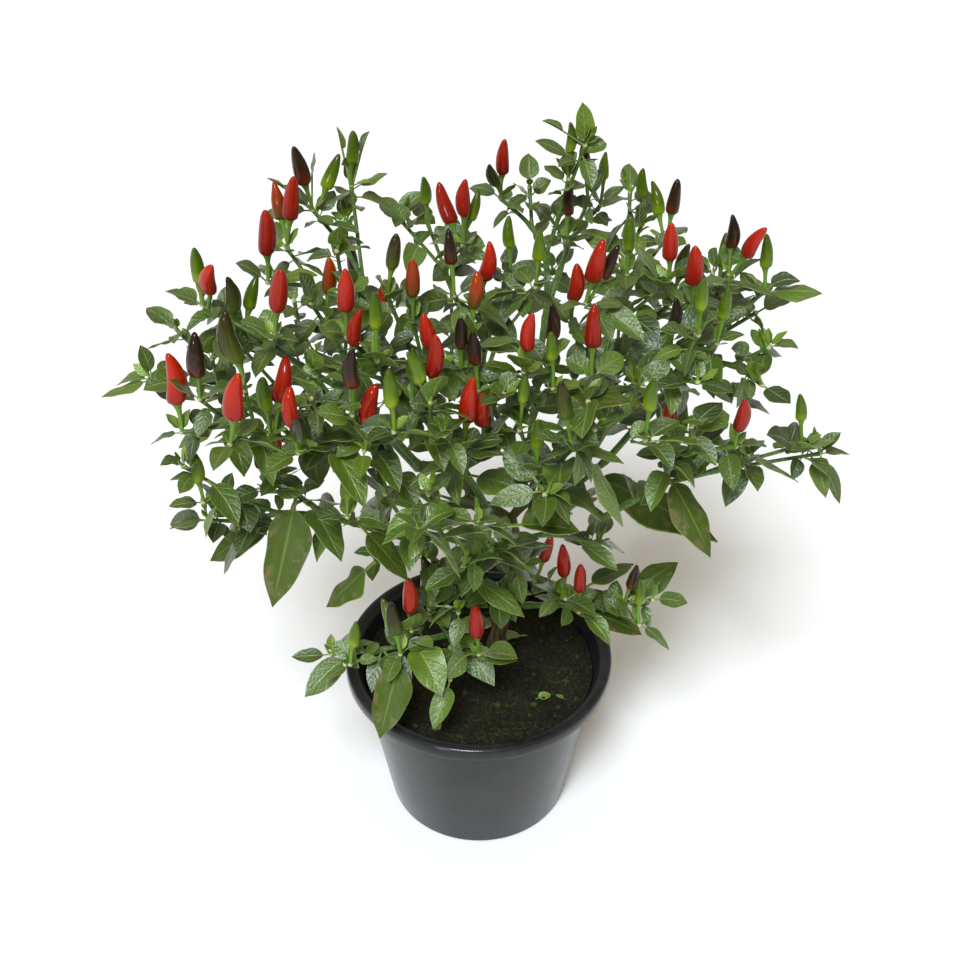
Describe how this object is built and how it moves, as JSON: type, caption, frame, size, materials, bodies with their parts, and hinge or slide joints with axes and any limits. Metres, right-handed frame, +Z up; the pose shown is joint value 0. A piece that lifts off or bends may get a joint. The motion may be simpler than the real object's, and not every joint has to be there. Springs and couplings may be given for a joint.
{
  "type": "potted chilli pepper plant",
  "caption": "Bushy ornamental chilli pepper plant with upright pods and glossy leaves, growing in soil in a plain round nursery pot.",
  "frame": {"origin": "centre of the pot's flat underside, which rests on the surface", "axes": "+Z up out of the pot, -Y towards the front of the plant, +X to the right as seen from the front"},
  "size_m": [0.5013, 0.3479, 0.5405],
  "materials": {
    "pot": "moulded dark grey polypropylene with a soft sheen",
    "soil": "rough damp peat potting mix",
    "bark": "dull woody stem",
    "foliage": "waxy leaf with a soft gloss",
    "stem_green": "smooth green stem",
    "pod_red": "glossy waxy skin",
    "pod_orange": "glossy waxy skin",
    "pod_green": "glossy waxy skin",
    "pod_dark": "glossy waxy skin"
  },
  "bodies": {
    "root": {"back_centre": "foliage", "back_left": "foliage", "back_right": "foliage", "behind_centre": "foliage", "behind_left": "foliage", "behind_right": "foliage", "centre": "foliage", "centre_left": "foliage", "centre_right": "foliage", "far_right": "foliage", "front": "foliage", "inner_shoot": "foliage", "left": "foliage", "left_shoot": "foliage", "low_left": "foliage", "low_right": "foliage", "mid_left": "foliage", "peak": "foliage", "pod_ripe_01": "pod_red", "pod_ripe_02": "pod_red", "pod_ripe_03": "pod_red", "pod_ripe_04": "pod_red", "pod_ripe_05": "pod_red", "pod_ripe_06": "pod_red", "pod_ripe_07": "pod_red", "pod_ripe_08": "pod_red", "pod_ripe_09": "pod_red", "pod_ripe_10": "pod_red", "pod_ripe_11": "pod_red", "pod_ripe_12": "pod_red", "pod_ripe_13": "pod_red", "pod_ripe_14": "pod_red", "pod_ripe_15": "pod_red", "pod_ripe_16": "pod_red", "pod_ripe_17": "pod_red", "pod_ripe_18": "pod_red", "pod_ripe_19": "pod_red", "pod_ripe_20": "pod_red", "pod_ripe_21": "pod_red", "pod_ripe_22": "pod_red", "pod_ripe_23": "pod_red", "pod_ripe_24": "pod_red", "pod_ripe_25": "pod_red", "pod_ripe_26": "pod_red", "pod_ripe_27": "pod_red", "pod_ripe_28": "pod_red", "pod_ripe_29": "pod_red", "pod_ripe_30": "pod_red", "pod_ripe_31": "pod_red", "pod_ripe_32": "pod_red", "pod_ripe_33": "pod_red", "pod_ripe_34": "pod_red", "pod_ripe_35": "pod_red", "pot": "pot", "right": "foliage", "right_shoot": "foliage", "soil": "soil", "tall_left": "foliage", "trunk": "bark", "upper_left": "foliage"}
  },
  "joints": []
}
